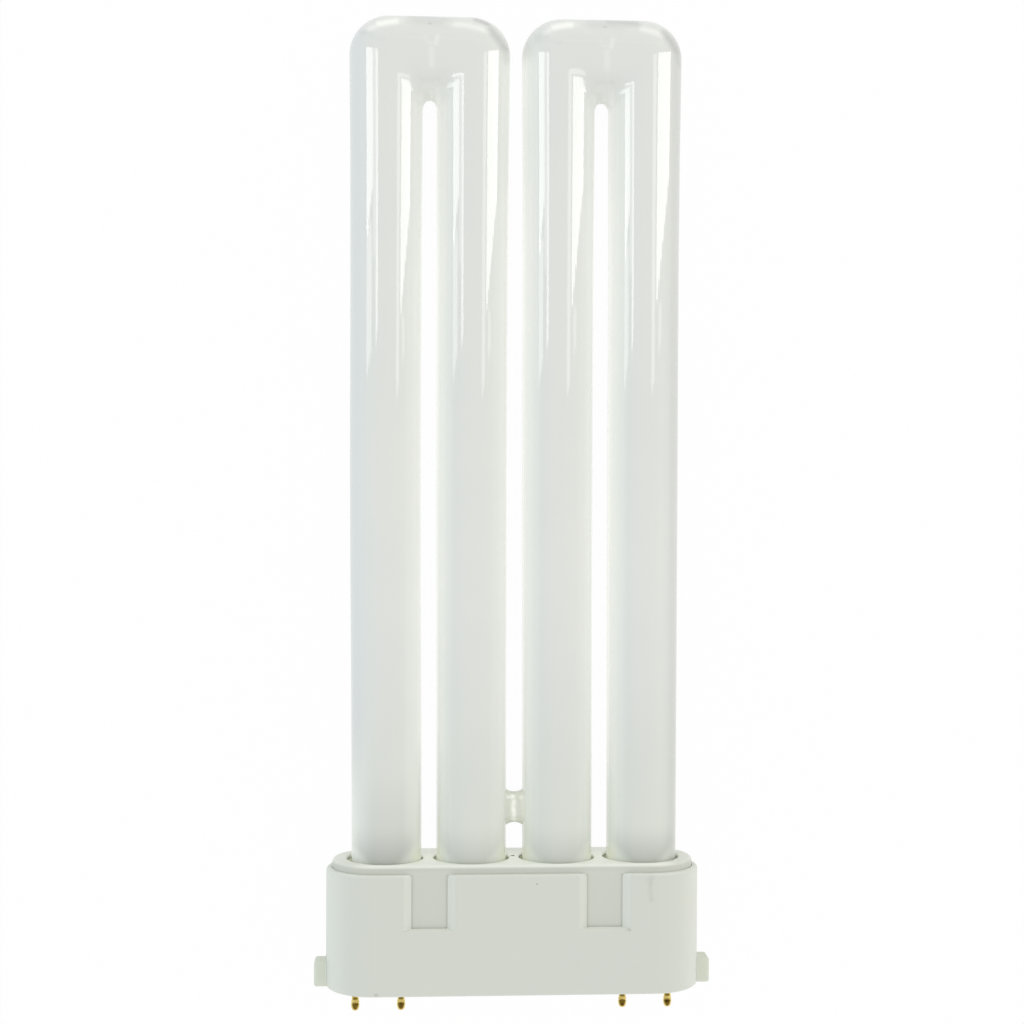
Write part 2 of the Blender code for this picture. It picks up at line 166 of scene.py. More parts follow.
# Node helpers

trees = []  # every node tree made here, laid out at the end


def newMaterial(name):
    material = bpy.data.materials.new(name)
    material.use_nodes = True
    trees.append(material.node_tree)
    return material, material.node_tree.nodes["Principled BSDF"]


def addNode(tree, kind, **values):
    node = tree.nodes.new(kind)
    for key, value in values.items():
        setattr(node, key, value)
    return node


def feed(socket, value):
    # Links an output to the socket, or sets a number, vector or colour on it
    if isinstance(value, bpy.types.NodeSocket):
        socket.id_data.links.new(value, socket)
    else:
        socket.default_value = value


def setInputs(node, **values):
    for key, value in values.items():
        feed(node.inputs[key.replace("_", " ")], value)


def newGroup(name, inputs, outputs):
    # inputs: default value of each; outputs: kind of each
    tree = bpy.data.node_groups.new(name, "ShaderNodeTree")
    for label, value in inputs.items():
        kind = "Float" if isinstance(value, float) else {3: "Vector", 4: "Color"}[len(value)]
        socket = tree.interface.new_socket(name=label, in_out="INPUT", socket_type="NodeSocket" + kind)
        socket.default_value = value
    for label, kind in outputs.items():
        tree.interface.new_socket(name=label, in_out="OUTPUT", socket_type="NodeSocket" + kind)
    trees.append(tree)
    return tree, addNode(tree, "NodeGroupInput").outputs, addNode(tree, "NodeGroupOutput")


def placeGroup(tree, group, **values):
    node = addNode(tree, "ShaderNodeGroup", node_tree=group)
    setInputs(node, **values)
    return node.outputs


def treeOf(values):
    # The tree of the first output among numbers, colours and outputs
    return next(value.id_data for value in values if isinstance(value, bpy.types.NodeSocket))


def combined(kind, values, **settings):
    # A node with these values in its first inputs
    node = addNode(treeOf(values), kind, **settings)
    for socket, value in zip(node.inputs, values):
        feed(socket, value)
    return node.outputs


def mathNode(operation, *values, clamp=False):
    return combined("ShaderNodeMath", values, operation=operation, use_clamp=clamp)[0]


def product(*values):
    return reduce(partial(mathNode, "MULTIPLY"), values)


def total(*values):
    return reduce(partial(mathNode, "ADD"), values)


def vectorMath(operation, *values):
    outputs = combined("ShaderNodeVectorMath", values, operation=operation)
    return outputs["Value" if operation in ("DOT_PRODUCT", "LENGTH") else "Vector"]


def split(vector):
    return combined("ShaderNodeSeparateXYZ", [vector])


def ramp(value, fromLow, fromHigh, toLow=0.0, toHigh=1.0):
    # A soft step from toLow to toHigh
    node = addNode(value.id_data, "ShaderNodeMapRange", interpolation_type="SMOOTHSTEP")
    setInputs(node, Value=value, From_Min=fromLow, From_Max=fromHigh, To_Min=toLow, To_Max=toHigh)
    return node.outputs["Result"]


def mixColours(share, first, second, blend="MIX"):
    node = addNode(treeOf((share, first, second)), "ShaderNodeMix", data_type="RGBA", blend_type=blend)
    for number, value in ((0, share), (6, first), (7, second)):
        feed(node.inputs[number], value)
    return node.outputs[2]


def greyed(colour, tone):
    # A colour times a grey that changes over the surface
    grey = combined("ShaderNodeCombineColor", [tone] * 3)
    return mixColours(1.0, colour, grey[0], "MULTIPLY")


def noiseNode(vector, scale, detail, roughness):
    node = addNode(vector.id_data, "ShaderNodeTexNoise")
    setInputs(node, Vector=vector, Scale=scale, Detail=detail, Roughness=roughness)
    return node.outputs["Fac"]


def bumpNode(height, strength, distance):
    node = addNode(height.id_data, "ShaderNodeBump")
    setInputs(node, Height=height, Strength=strength, Distance=distance)
    return node.outputs["Normal"]


def layOut(tree):
    # Sets the nodes in columns, each to the left of all that it feeds
    column = {node.name: 0 for node in tree.nodes}
    links = [(link.from_node.name, link.to_node.name) for link in tree.links]
    for _ in column:
        for source, target in links:
            column[source] = max(column[source], column[target] + 1)
    for node in tree.nodes:
        above = [other for other in tree.nodes if column[other.name] == column[node.name]]
        node.location = (-220 * column[node.name], -280 * above.index(node))


# Effects that several finishes share


def lampPlaceGroup():
    # A point's place in the lamp's own frame, metres
    tree, given, end = newGroup("lampPlace", {}, {"Place": "Vector", "Height": "Float"})
    point = addNode(tree, "ShaderNodeTexCoord").outputs["Object"]
    mapping = addNode(tree, "ShaderNodeMapping", vector_type="TEXTURE")
    setInputs(mapping, Vector=point, Location=pinFace["pos_m"], Rotation=lampFrame.to_euler())
    place = mapping.outputs["Vector"]
    setInputs(end, Place=place, Height=split(place)["Z"])
    return tree


cloudShape = {"detail": 3.0, "roughness": 0.55, "change": (0.35, 0.65)}


def toneCloudsGroup():
    # Soft blotches of a second colour over a first one
    grey = (0.7, 0.7, 0.7, 1)
    inputs = {"Colour": grey, "Second": grey, "Place": (0, 0, 0), "Scale": 60.0}
    tree, given, end = newGroup("toneClouds", inputs, {"Colour": "Color"})
    noise = noiseNode(given["Place"], given["Scale"], cloudShape["detail"], cloudShape["roughness"])
    share = ramp(noise, *cloudShape["change"])
    setInputs(end, Colour=mixColours(share, given["Colour"], given["Second"]))
    return tree


grainShape = {"fine": (4.0, 0.6), "slow": (2.0, 0.5)}  # detail and roughness


def mouldGrainGroup():
    # Height of a fine moulded grain over a slower waviness
    inputs = {"Place": (0, 0, 0), "Scale": 4000.0, "Wave Scale": 250.0, "Wave Share": 0.5}
    tree, given, end = newGroup("mouldGrain", inputs, {"Height": "Float"})
    fine = noiseNode(given["Place"], given["Scale"], *grainShape["fine"])
    slow = noiseNode(given["Place"], given["Wave Scale"], *grainShape["slow"])
    setInputs(end, Height=total(fine, product(slow, given["Wave Share"])))
    return tree


def softLineGroup():
    # A soft stroke from Start to End on the lamp's front; y counts only for its fading, towards the back
    inputs = {"Place": (0, 0, 0), "Start": (0, 0, 0), "End": (0, 0, 0.001), "Width": 0.0005}
    inputs |= {"Fade Start": -0.0008, "Fade End": -0.0001}
    tree, given, end = newGroup("softLine", inputs, {"Mask": "Float"})
    fromStart = vectorMath("SUBTRACT", vectorMath("MULTIPLY", given["Place"], (1, 0, 1)), given["Start"])
    whole = vectorMath("SUBTRACT", given["End"], given["Start"])
    along = vectorMath("DOT_PRODUCT", fromStart, whole)
    share = mathNode("DIVIDE", along, vectorMath("DOT_PRODUCT", whole, whole), clamp=True)
    reached = addNode(tree, "ShaderNodeVectorMath", operation="SCALE")
    setInputs(reached, Vector=whole, Scale=share)
    off = vectorMath("SUBTRACT", fromStart, reached.outputs["Vector"])
    mask = ramp(mathNode("DIVIDE", vectorMath("LENGTH", off), given["Width"]), 0.0, 1.0, 1.0, 0.0)
    front = ramp(split(given["Place"])["Y"], given["Fade Start"], given["Fade End"], 1.0, 0.0)
    setInputs(end, Mask=product(mask, front))
    return tree


lampPlace = lampPlaceGroup()
softLine = softLineGroup()
toneClouds = toneCloudsGroup()
mouldGrain = mouldGrainGroup()


def strokes(place, lines, fade=(-0.0008, -0.0001)):
    # The strongest of several soft strokes; fade is where they end, towards the back
    strongest = None
    for begin, finish, width, strength in lines:
        start, end = [(across / 1000, 0, up / 1000) for across, up in (begin, finish)]
        line = placeGroup(
            place.id_data, softLine, Place=place, Start=start, End=end, Width=width / 1000,
            Fade_Start=fade[0], Fade_End=fade[1],
        )
        mask = product(line["Mask"], strength)
        strongest = mask if strongest is None else mathNode("MAXIMUM", strongest, mask)
    return strongest


def newFinish(name, look):
    # A mottled colour with its grain; also gives the place of each point of the surface
    material, shader = newMaterial(name)
    tree = shader.id_data
    place = placeGroup(tree, lampPlace)
    clouds = placeGroup(
        tree, toneClouds, Place=place["Place"],
        Colour=look["colour"], Second=look["second"], Scale=look["cloudScale"],
    )
    setInputs(shader, Base_Color=clouds["Colour"], Roughness=look["roughness"])
    setInputs(shader, Metallic=look.get("metallic", 0.0))
    if "grain" in look:
        scale, strength, height = look["grain"]
        grain = placeGroup(tree, mouldGrain, Place=place["Place"], Scale=scale)
        setInputs(shader, Normal=bumpNode(grain["Height"], strength, height))
    return material, shader, place, clouds["Colour"]


# Finishes. A grain is its scale, strength and height in metres. A mark, painted highlight or painted shade
# is a stroke on the lamp's
# front: two points (sideways, up from the pin face) and its width, in mm, and its strength

black = (0, 0, 0, 1)
outerAxis = 1.5 * legPitch  # the outer legs' axes, from the lamp's middle

plasticLook = {
    "colour": (0.655, 0.672, 0.608, 1),
    "second": (0.642, 0.670, 0.612, 1),
    "cloudScale": 70.0,
    "roughness": 0.48,
    "grain": (4000.0, 0.25, 0.00004),
    "edge": 0.055,  # how much lighter the edges of the notches and the rim are painted, a painted light
    "edgeDepths": (0.00004, 0.00022),  # where they start and end, in from the shell's face
    "edgePast": 0.0002,  # no painted light deeper than this past the wall
    "ends": 0.10,  # how much lighter the round ends are painted, a painted light
    "endStart": 0.45,  # where that starts, as a share of the shell's half depth
    # painted cool light on the left end
    "paintedCoolEnd": (0.995, 1.005, 1.005, 1),
    "coolEnd": 0.8,  # where the left end's painted cool light stops, as a share of the shell's half width
    "lugTint": (0.94, 0.945, 0.885, 1),
    "lugStep": (-0.0001, 0.0002),  # where that tint starts and ends, from the shell's end
    "markFace": 0.97,  # marks lie further out than this share of the shell's half depth
    "marks": [
        ((28.6, 24.7), (29.4, 25.1), 1.0, 0.08), ((29.1, 24.8), (29.0, 23.6), 0.9, 0.10),
        ((28.9, 22.8), (29.2, 20.4), 1.0, 0.07), ((29.1, 20.6), (29.3, 20.4), 0.8, 0.10),
        ((24.3, 14.1), (24.5, 14.0), 0.6, 0.22), ((4.55, 24.0), (4.65, 24.0), 0.28, 0.40),
        ((-29.8, 0.6), (-29.4, 0.6), 0.5, 0.22),
    ],
}


def shellFinish():
    # Painted light on the edges and round ends, a painted cool light on the left end, and real scuffs on
    # the face
    look = plasticLook
    material, shader, place, colour = newFinish("capPlastic", look)
    x, y, z = split(place["Place"])
    outward = mathNode("ABSOLUTE", x)
    beyond = mathNode("MAXIMUM", mathNode("SUBTRACT", outward, endCentre), 0.0)
    squares = total(mathNode("POWER", beyond, 2.0), mathNode("POWER", mathNode("ABSOLUTE", y), 2.0))
    depth = mathNode("SUBTRACT", shellHalfDepth, mathNode("SQRT", squares))
    inWall = mathNode("LESS_THAN", depth, capShape["wall"] + look["edgePast"])
    # Painted light: the edges of the notches and the rim are painted lighter
    edge = product(ramp(depth, *look["edgeDepths"], 0.0, look["edge"]), inWall)
    # Painted light: the round ends are painted lighter
    ends = ramp(beyond, look["endStart"] * shellHalfDepth, shellHalfDepth, 0.0, look["ends"])
    onFace = mathNode("LESS_THAN", y, -look["markFace"] * shellHalfDepth)
    marks = product(strokes(place["Place"], look["marks"]), onFace)
    lighter = total(mathNode("MAXIMUM", edge, ends), 1.0)
    colour = greyed(colour, mathNode("SUBTRACT", lighter, marks))
    onLug = ramp(outward, *[shellHalfWidth + step for step in look["lugStep"]])
    colour = mixColours(onLug, colour, look["lugTint"], "MULTIPLY")
    # Painted cool light on the left end
    leftEnd = ramp(x, -shellHalfWidth, -look["coolEnd"] * shellHalfWidth, 1.0, 0.0)
    setInputs(shader, Base_Color=mixColours(leftEnd, colour, look["paintedCoolEnd"], "MULTIPLY"))
    return material


holderLook = {
    "colour": (0.622, 0.637, 0.568, 1),
    "second": (0.612, 0.633, 0.570, 1),
    "cloudScale": 90.0,
    "roughness": 0.48,
    "grain": (4000.0, 0.25, 0.00004),
    "paintedShade": 0.12,  # how much darker the corners along the shell are painted, a painted shade
    "paintedShadeWidth": 0.0007,
    "collarShade": 0.045,  # the same painted shade for the collar's side
    "collarHeight": 0.0012,
    "paintedGlow": (1.0, 1.01, 0.94, 1),  # painted glow, an emission that stands in for light coming down through the glass onto the collar
    "frontLevel": 0.21,
    "backLevel": 0.36,
    "backStart": 0.3,  # where the back's level is reached, as a share of the legs' radius
    "endShare": 0.48,  # of that light beyond the outer legs
    "endStart": 0.3,
    "topEdge": 0.0002,  # that light is full this far below the top
    "ventShade": 0.65,  # how dark the painted shade inside the vent hole is
    "ventEdge": 0.00002,
}


def holderFinish():
    # Painted shade in the notch's corners, on the collar and inside the vent, and a painted glow on the
    # collar's top
    look = holderLook
    material, shader, place, colour = newFinish("holderPlastic", look)
    x, y, z = split(place["Place"])
    fromNotch = mathNode("ABSOLUTE", mathNode("SUBTRACT", x, capShape["notchShift"]))
    fromNotch = mathNode("ABSOLUTE", mathNode("SUBTRACT", fromNotch, legPitch))
    half = capShape["notchWidth"] / 2
    inNotch = mathNode("LESS_THAN", fromNotch, half)
    # Painted shade in the corners of the notches
    sideShade = ramp(fromNotch, half - look["paintedShadeWidth"], half)
    under = mathNode("LESS_THAN", z, shellTop)
    footShade = ramp(z, capShape["notchFloor"], capShape["notchFloor"] + look["paintedShadeWidth"], 1.0, 0.0)
    corners = product(total(sideShade, footShade), product(inNotch, under))
    window = product(corners, look["paintedShade"])
    # Painted shade on the collar's side
    collar = ramp(z, shellTop, shellTop + look["collarHeight"], 0.0, look["collarShade"])
    paintedShade = mathNode("MAXIMUM", window, collar)
    far = total(product(x, x), product(y, y))
    solid = mathNode("GREATER_THAN", far, (holderShape["vent"] + look["ventEdge"]) ** 2)
    # Painted shade inside the vent hole
    paintedShade = total(paintedShade, product(mathNode("SUBTRACT", 1.0, solid), look["ventShade"]))
    setInputs(shader, Base_Color=greyed(colour, mathNode("SUBTRACT", 1.0, paintedShade)))
    # Painted glow on the collar's top, an emission
    top = ramp(z, holderHigh.z - holderShape["round"], holderHigh.z - look["topEdge"])
    level = ramp(y, -tubeRadius, look["backStart"] * tubeRadius, look["frontLevel"], look["backLevel"])
    endStart = outerAxis + look["endStart"] * tubeRadius
    beyond = ramp(mathNode("ABSOLUTE", x), endStart, outerAxis + tubeRadius, 1.0, look["endShare"])
    lit = product(top, level, beyond, solid)
    setInputs(shader, Emission_Color=mixColours(lit, black, look["paintedGlow"]), Emission_Strength=1.0)
    return material


cementLook = {
    "colour": (0.60, 0.62, 0.46, 1),
    "second": (0.50, 0.52, 0.38, 1),
    "cloudScale": 400.0,
    "roughness": 0.9,
    "grain": (2500.0, 0.5, 0.0001),
}

# Strokes on each bend, sideways from the middle of its pair: painted highlights (light), and real weld
# marks with painted shade (dark)
bendStrokes = {
    "light": [
        ((-1.2, 204.8), (-0.6, 203.6), 0.9, 0.13), ((-0.6, 203.6), (0.9, 203.4), 0.8, 0.15),
        ((1.5, 205.0), (1.1, 203.4), 1.0, 0.28), ((0.2, 202.4), (0.3, 199.0), 1.2, 0.22),
        ((-11.5, 204.7), (11.5, 204.5), 0.4, 0.06), ((-13.0, 206.9), (-10.4, 208.0), 1.4, 0.45),
        ((-11.0, 207.9), (-7.4, 208.6), 1.5, 0.95), ((-7.4, 208.6), (-6.2, 208.6), 1.2, 0.30),
        ((8.2, 207.7), (12.2, 206.7), 1.4, 0.50),
    ],
    "dark": [
        ((-1.7, 196.1), (-1.4, 196.0), 0.9, 0.14), ((1.4, 196.4), (1.7, 196.2), 0.9, 0.18),
        ((-1.6, 196.1), (1.7, 196.3), 1.0, 0.12), ((0.5, 196.0), (0.5, 194.0), 0.9, 0.14),
        ((-2.4, 194.8), (-1.2, 193.8), 1.8, 0.12), ((1.4, 195.0), (2.2, 195.6), 1.6, 0.10),
        ((-0.3, 208.2), (0.1, 208.1), 0.7, 0.42), ((-3.4, 209.8), (3.0, 209.8), 0.8, 0.30),
        ((-2.4, 209.4), (3.0, 209.2), 3.4, 0.20), ((-2.2, 195.0), (2.2, 195.2), 4.2, 0.07),
        ((-13.5, 205.2), (-10.0, 204.2), 1.0, 0.07), ((13.0, 207.1), (15.8, 203.6), 1.9, 0.48),
        ((15.8, 203.6), (16.4, 200.8), 1.4, 0.24), ((-14.7, 206.2), (-12.8, 205.7), 1.0, 0.14),
    ],
}
# Strokes on one bend alone, sideways from the lamp's middle: painted highlights (light) and painted shade
# (dark)
oneBendStrokes = {
    "light": [
        ((-15.4, 208.3), (-13.4, 208.1), 1.3, 0.25), ((-13.6, 208.1), (-10.2, 207.8), 1.4, 0.52),
    ],
    "dark": [
        ((-23.3, 210.4), (-18.0, 210.4), 1.2, 0.50), ((19.8, 209.9), (25.4, 209.7), 2.2, 0.50),
        ((-9.0, 209.6), (-6.4, 208.6), 1.1, 0.60), ((-6.4, 208.6), (-5.0, 207.0), 1.0, 0.35),
        ((-5.2, 207.4), (-4.2, 205.8), 0.9, 0.30), ((4.5, 205.0), (5.6, 207.2), 1.4, 0.16),
    ],
}
glassLook = {
    "colour": (0.757, 0.770, 0.733, 1),
    "second": (0.745, 0.760, 0.726, 1),
    "cloudScale": 45.0,
    "roughness": 0.6,
    "coatRoughness": 0.055,
    "paintedGlow": (0.975, 0.985, 0.94, 1),  # painted glow, an emission that stands in for light the thin powder lets through between the legs
    "paintedGlowLevel": 0.20,
    "edgeLevel": 0.12,  # more of it where the glass is seen edge on
    "topShare": 0.80,  # of that light near the bends
    "footShare": 0.82,  # of that light at the cap
    "rightShare": 0.75,  # of that light on the right side of each leg
    "sideSwitch": 0.1,  # half the width of the change between the sides, as a share of the pitch
    "lowerTone": 0.93,  # the powder is a little greyer towards the cap
    # painted shade at the powder's rounded end above each socket
    "endShade": 0.77,
    "middleEndShade": 0.85,  # the same for the two inner legs
    "endNarrowing": 0.45,  # rounds the painted shade at the powder's end
    "firstTone": 0.92,  # the first leg's foot is greyer still
    "footTint": (0.997, 1.016, 0.984, 1),
    "seal": (0.68, 0.71, 0.54, 1),  # yellow-green of the bare glass in the sockets
    "sealShare": 0.75,
    "sealLevel": 0.03,  # painted glow in the bare glass beside the sockets
    "paintedFootGlow": 0.13,  # painted glow on the far left of the first leg's foot
    # painted cool light on the first leg's far left side
    "paintedCoolSide": (0.945, 0.963, 0.985, 1),
    "rightTone": 0.87,  # the last leg's outer side is a little greyer
    # colours of the painted highlights, and of the painted shade and real marks
    "lightMark": (0.99, 0.99, 0.935, 1),
    "darkMark": (0.42, 0.43, 0.42, 1),
    "markFade": (-0.0030, -0.0015),  # where the marks end, towards the back
}
# Where changes on the glass start and end: heights above the pin face, ...
archTop = bendAxis - tubeRadius  # of the gap between two joined legs
socketTop = holderHigh.z
glassHeights = {
    "arch": (archTop - 0.0050, archTop + 0.0020),
    "top": (archTop - 0.040, archTop - 0.008),
    "bend": (bendAxis - 0.5 * tubeRadius, bendAxis + 0.35 * tubeRadius),
    "edge": (0.035, 0.060),
    "foot": (0.028, 0.055),
    "lower": (0.030, 0.090),
    "narrowing": (socketTop - 0.0010, socketTop + 0.0045),
    "powderEnd": (socketTop, 0.0365),
    "firstLeg": (0.030, 0.055),
    "footTint": (0.030, 0.070),
    "seal": (socketTop, socketTop + 0.0045),
    "paintedFootGlow": (0.030, 0.060),
    "paintedCoolSide": (0.035, 0.060),
}
# ... places across a leg, from 0 on its axis to 1 at its side, ...
glassShares = {
    "paintedGlow": (0.46, 1.0),
    "edge": (0.86, 0.97),
    "powderEnd": (0.66, 1.02),
    "firstLeg": (0.5, 1.0),
    "seal": (0.66, 0.92),
}
# ... and places from the lamp's middle towards its right
glassSides = {
    "paintedFootGlow": (-outerAxis - tubeRadius, -outerAxis - 0.2 * tubeRadius),
    "paintedCoolSide": (-outerAxis - 0.8 * tubeRadius, -outerAxis - 0.35 * tubeRadius),
    "rightTone": (outerAxis + 0.35 * tubeRadius, outerAxis + 0.85 * tubeRadius),
}


def paintedLegGlow(height, outward, between, part, across):
    # Painted glow: an emission that stands in for light the powder passes on between the legs
    look = glassLook
    below = ramp(height, *glassHeights["arch"], 1.0, 0.0)
    broad = ramp(across, *glassShares["paintedGlow"], 0.0, look["paintedGlowLevel"])
    edge = ramp(across, *glassShares["edge"], 0.0, look["edgeLevel"])
    side = total(broad, product(edge, ramp(height, *glassHeights["edge"])))
    onRight = ramp(part, -look["sideSwitch"], look["sideSwitch"], 1.0, look["rightShare"])
    middleGap = mathNode("LESS_THAN", outward, legPitch / 2)
    nearTop = ramp(height, *glassHeights["top"], 1.0, look["topShare"])
    highest = ramp(height, *glassHeights["bend"], 1.0, 0.0)
    nearFoot = ramp(height, *glassHeights["foot"], look["footShare"], 1.0)
    facing = product(mathNode("MAXIMUM", below, middleGap), nearTop, highest, nearFoot)
    return product(side, between, facing, onRight)


def powderTone(height, outward, across, x):
    # Greyer towards the cap, with a rounded painted shade at the powder's end just above each socket
    look = glassLook
    lower = ramp(height, *glassHeights["lower"], look["lowerTone"], 1.0)
    narrowing = ramp(height, *glassHeights["narrowing"], look["endNarrowing"], 0.0)
    # Painted shade at the powder's end
    centre = ramp(total(across, narrowing), *glassShares["powderEnd"], 1.0, 0.0)
    ended = product(centre, ramp(height, *glassHeights["powderEnd"], 1.0, 0.0))
    innerLeg = mathNode("LESS_THAN", outward, legPitch)
    strength = ramp(innerLeg, 0, 1, 1 - look["endShade"], 1 - look["middleEndShade"])
    tone = product(lower, mathNode("SUBTRACT", 1.0, product(ended, strength)))
    firstLeg = mathNode("LESS_THAN", x, -legPitch)
    foot = product(ramp(height, *glassHeights["firstLeg"], 1.0, 0.0), firstLeg)
    grey = product(foot, ramp(across, *glassShares["firstLeg"], 1.0, 0.0))
    return product(tone, ramp(grey, 0, 1, 1.0, look["firstTone"]))


def coatedGlass():
    # Clear glass over the white powder on its inside, with painted glow, painted shade, painted cool light
    # and painted highlights
    look = glassLook
    material, shader, place, colour = newFinish("phosphorGlass", look)
    height = place["Height"]
    x, y, z = split(place["Place"])
    part = mathNode("SUBTRACT", mathNode("FRACT", mathNode("DIVIDE", x, legPitch)), 0.5)
    across = product(mathNode("ABSOLUTE", part), legPitch / tubeRadius)
    outward = mathNode("ABSOLUTE", x)
    between = mathNode("LESS_THAN", outward, outerAxis)
    # Painted glow between the legs
    lit = paintedLegGlow(height, outward, between, part, across)
    colour = greyed(colour, powderTone(height, outward, across, x))
    lowest = ramp(height, *glassHeights["footTint"], 1.0, 0.0)
    colour = mixColours(lowest, colour, look["footTint"], "MULTIPLY")
    bare = ramp(height, *glassHeights["seal"], look["sealShare"], 0.0)
    bareRim = product(bare, product(ramp(across, *glassShares["seal"]), between))
    colour = mixColours(bareRim, colour, look["seal"])
    # Painted glow in the bare glass by the sockets and on the first leg's foot
    sealLit = product(bareRim, look["sealLevel"])
    leftSide = ramp(x, *glassSides["paintedFootGlow"], look["paintedFootGlow"], 0.0)
    leftFoot = product(leftSide, ramp(height, *glassHeights["paintedFootGlow"], 1.0, 0.0))
    glow = mixColours(total(lit, total(sealLit, leftFoot)), black, look["paintedGlow"])
    # Painted cool light on the far left
    farLeft = ramp(x, *glassSides["paintedCoolSide"], 1.0, 0.0)
    cool = product(farLeft, ramp(height, *glassHeights["paintedCoolSide"]))
    colour = mixColours(cool, colour, look["paintedCoolSide"], "MULTIPLY")
    colour = greyed(colour, ramp(x, *glassSides["rightTone"], 1.0, look["rightTone"]))
    # Painted highlights and painted shade on the bends, with real marks of the weld where the two halves of
    # each bend meet
    pairMiddle = product(mathNode("SIGN", x), legPitch)
    fromPair = addNode(shader.id_data, "ShaderNodeCombineXYZ")
    setInputs(fromPair, X=mathNode("SUBTRACT", x, pairMiddle), Y=y, Z=z)
    for tone in ("light", "dark"):
        mask = strokes(fromPair.outputs["Vector"], bendStrokes[tone], look["markFade"])
        single = strokes(place["Place"], oneBendStrokes[tone], look["markFade"])
        colour = mixColours(mathNode("MAXIMUM", mask, single), colour, look[tone + "Mark"])
    setInputs(shader, Base_Color=colour, Emission_Color=glow, Emission_Strength=1.0, Specular_IOR_Level=0.0)
    setInputs(shader, Coat_Weight=1.0, Coat_Roughness=look["coatRoughness"], Coat_IOR=1.5)
    return material


bridgeLook = {
    "colour": (0.70, 0.715, 0.645, 1),
    "second": (0.66, 0.69, 0.58, 1),
    "cloudScale": 500.0,
    "roughness": 0.4,
    "coatRoughness": 0.03,
    # painted glow of the neck, an emission, at this level
    "paintedGlow": (0.95, 1.0, 0.85, 1),
    "level": 0.10,
    "waves": (900.0, 0.6, 0.0003),  # of the glass's face: scale, strength and height
    # painted beady highlight
    "light": [
        ((-0.2, 41.3), (-0.1, 41.2), 0.8, 0.95), ((0.1, 40.2), (-0.1, 39.2), 0.8, 0.75),
        ((-0.1, 38.8), (0.1, 38.0), 0.8, 0.95), ((0.1, 37.4), (0.1, 37.1), 0.8, 0.95),
        ((-0.1, 36.3), (0.3, 36.0), 0.8, 0.80),
    ],
    "dark": [
        ((-1.3, 40.5), (-1.4, 36.6), 1.3, 0.30), ((1.2, 40.8), (1.3, 36.8), 1.0, 0.24),
        ((-1.0, 35.6), (1.2, 35.6), 0.8, 0.26), ((-0.3, 42.1), (0.1, 42.0), 0.7, 0.40),
    ],
}


def bridgeGlass():
    # The short neck of milky glass between the two inner legs, with its painted beady highlight and a
    # painted glow
    look = bridgeLook
    material, shader, place, colour = newFinish("bridgeGlass", look)
    for tone in ("light", "dark"):
        colour = mixColours(strokes(place["Place"], look[tone]), colour, glassLook[tone + "Mark"])
    setInputs(shader, Base_Color=colour, Emission_Color=look["paintedGlow"], Emission_Strength=look["level"])
    setInputs(shader, Coat_Weight=1.0, Coat_Roughness=look["coatRoughness"], Coat_IOR=1.5)
    scale, strength, height = look["waves"]
    waves = noiseNode(place["Place"], scale, *grainShape["slow"])
    setInputs(shader, Coat_Normal=bumpNode(waves, strength, height))
    return material


metalLook = {
    "colour": (0.075, 0.040, 0.004, 1),  # of the darker tip
    "second": (0.20, 0.13, 0.025, 1),
    "cloudScale": 1500.0,
    "metallic": 1.0,
    "roughness": 0.28,
    "grain": (9000.0, 0.3, 0.00002),
    "bright": (0.78, 0.60, 0.20, 1),
    "neck": (0.20, 0.14, 0.02, 1),
    "paintedSheenTurn": (0.20, 0.48),  # how far the metal is turned from the camera where its painted bright sides, a painted sheen, start and end
    "darkTipHeights": (-0.00388, -0.00368),  # below these the tip is darker
    "ringHeights": (-0.00350, -0.00300),  # and above these the neck starts
}


def giltFinish():
    look = metalLook
    material, shader, place, tipColours = newFinish("giltBrass", look)
    neck = ramp(place["Height"], *look["ringHeights"])
    colour = mixColours(neck, look["bright"], look["neck"])
    tip = ramp(place["Height"], *look["darkTipHeights"], 1.0, 0.0)
    colour = mixColours(tip, colour, tipColours)
    # Painted sheen: sides turned from the camera are painted bright
    facing = addNode(shader.id_data, "ShaderNodeLayerWeight")
    setInputs(facing, Blend=0.5)
    turned = ramp(facing.outputs["Facing"], *look["paintedSheenTurn"])
    setInputs(shader, Base_Color=mixColours(turned, colour, look["bright"]))
    return material


wireLook = {
    "colour": (0.62, 0.60, 0.56, 1),
    "second": (0.52, 0.50, 0.46, 1),
    "cloudScale": 900.0,
    "metallic": 1.0,
    "roughness": 0.35,
}

capPlastic = shellFinish()
holderPlastic = holderFinish()
cementPaste = newFinish("cement", cementLook)[0]
phosphorGlass = coatedGlass()
bareGlass = bridgeGlass()
giltBrass = giltFinish()
nickelWire = newFinish("nickelWire", wireLook)[0]
print("finishes made:", len(bpy.data.materials))


# Mesh helpers


def meshOf(name, bm):
    mesh = bpy.data.meshes.new(name)
    bm.to_mesh(mesh)
    bm.free()
    return mesh


def finishPiece(name, bm, material, replaced=(), smooth=35, even=False):
    bmesh.ops.recalc_face_normals(bm, faces=bm.faces)
    mesh = meshOf(name, bm)
    mesh.transform(lampFrame)
    mesh.shade_smooth()
    mesh.set_sharp_from_angle(angle=math.radians(smooth))
    mesh.materials.append(material)
    piece = addObject(name, mesh)
    if even:
        piece.modifiers.new("evenNormals", "WEIGHTED_NORMAL").keep_sharp = True
    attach(piece, "root")
    if replaced:
        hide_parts(*replaced)


